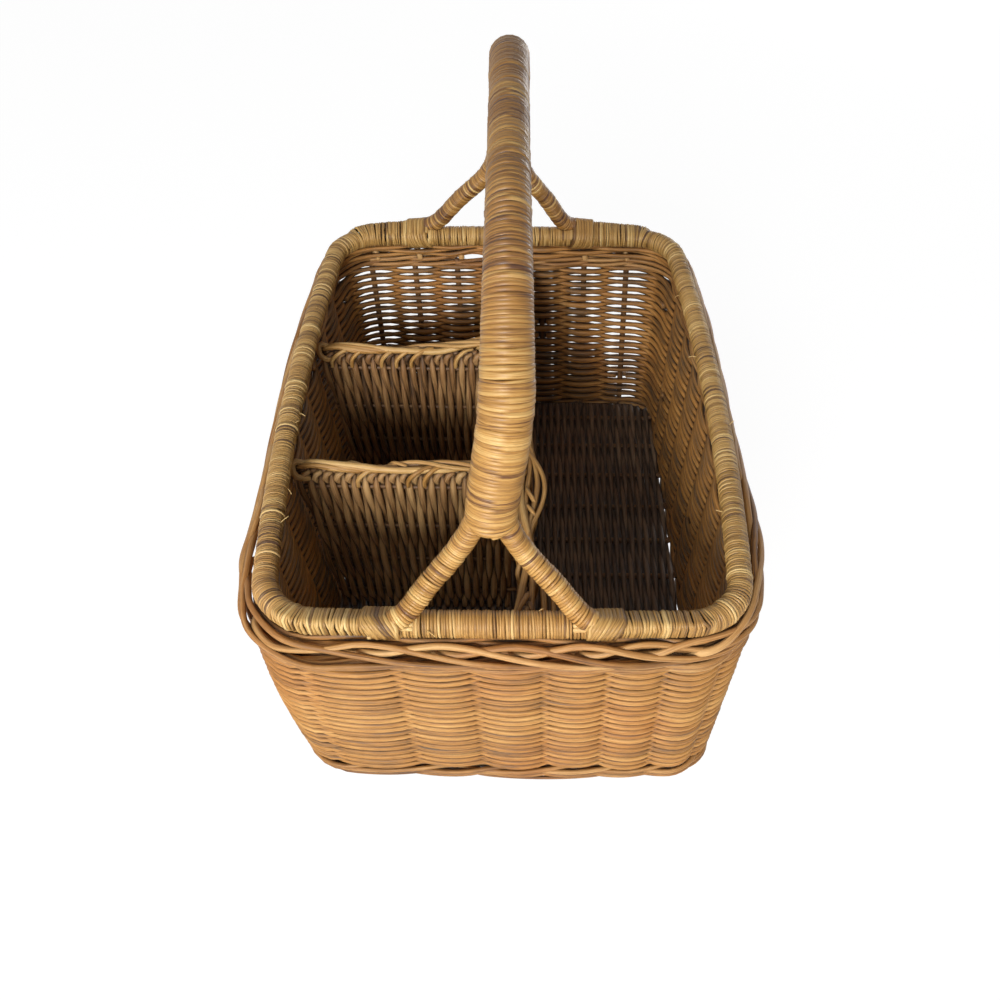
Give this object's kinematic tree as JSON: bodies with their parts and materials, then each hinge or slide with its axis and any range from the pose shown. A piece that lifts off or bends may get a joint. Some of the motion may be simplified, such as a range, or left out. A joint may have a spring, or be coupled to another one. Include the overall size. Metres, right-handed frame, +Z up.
{
  "type": "utensil caddy basket",
  "caption": "Oblong woven rattan utensil caddy with divided compartments, a rolled rim and a fixed cane-wrapped arch handle on forked legs.",
  "frame": {"origin": "on the ground under the middle of the basket's outer box", "axes": "+Z up, +Y along the basket's length towards the rear short side, +X to the right seen from the front"},
  "size_m": [0.258, 0.358, 0.3161],
  "materials": {
    "wall_rattan": "fine round rattan core, woven, satin",
    "stake_rattan": "thicker rattan core, satin",
    "border_rattan": "browner rattan core, satin",
    "inner_rattan": "fine round rattan core, darker inside",
    "wrap_cane": "split cane winding, smooth skin side out",
    "handle_cane": "split cane winding, smooth skin side out",
    "core_cane": "bare thick cane, matte"
  },
  "bodies": {
    "root": {"cross_stake_1": "stake_rattan", "cross_stake_2": "stake_rattan", "cross_stake_3": "stake_rattan", "cross_stake_4": "stake_rattan", "cross_stake_5": "stake_rattan", "cross_stake_6": "stake_rattan", "cross_stake_7": "stake_rattan", "cross_stake_8": "stake_rattan", "cross_stake_9": "stake_rattan", "cross_stake_10": "stake_rattan", "front_stake_1": "stake_rattan", "front_stake_2": "stake_rattan", "front_stake_3": "stake_rattan", "front_stake_4": "stake_rattan", "front_stake_5": "stake_rattan", "front_stake_6": "stake_rattan", "rear_stake_1": "stake_rattan", "rear_stake_2": "stake_rattan", "rear_stake_3": "stake_rattan", "rear_stake_4": "stake_rattan", "rear_stake_5": "stake_rattan", "rear_stake_6": "stake_rattan", "rear_stake_7": "stake_rattan", "floor_weave": "inner_rattan", "foot_border": "border_rattan", "wall_weave": "wall_rattan", "upper_waling": "border_rattan", "braided_border": "border_rattan", "rim_hoop": "core_cane", "rim_wrap_front": "wrap_cane", "rim_wrap_rear": "wrap_cane", "rim_wrap_left": "wrap_cane", "rim_wrap_right": "wrap_cane", "foot_wrap_front_left": "wrap_cane", "leg_cane_front_left": "core_cane", "leg_wrap_front_left": "handle_cane", "foot_lashing_front_left": "handle_cane", "foot_wrap_front_right": "wrap_cane", "leg_cane_front_right": "core_cane", "leg_wrap_front_right": "handle_cane", "foot_lashing_front_right": "handle_cane", "foot_wrap_rear_left": "wrap_cane", "leg_cane_rear_left": "core_cane", "leg_wrap_rear_left": "handle_cane", "foot_lashing_rear_left": "handle_cane", "foot_wrap_rear_right": "wrap_cane", "leg_cane_rear_right": "core_cane", "leg_wrap_rear_right": "handle_cane", "foot_lashing_rear_right": "handle_cane", "handle_core": "core_cane", "handle_wrap": "handle_cane", "long_divider_weave": "inner_rattan", "long_divider_border": "border_rattan", "front_cross_divider_weave": "inner_rattan", "front_cross_divider_border": "border_rattan", "rear_cross_divider_weave": "inner_rattan", "rear_cross_divider_border": "border_rattan"}
  },
  "joints": []
}
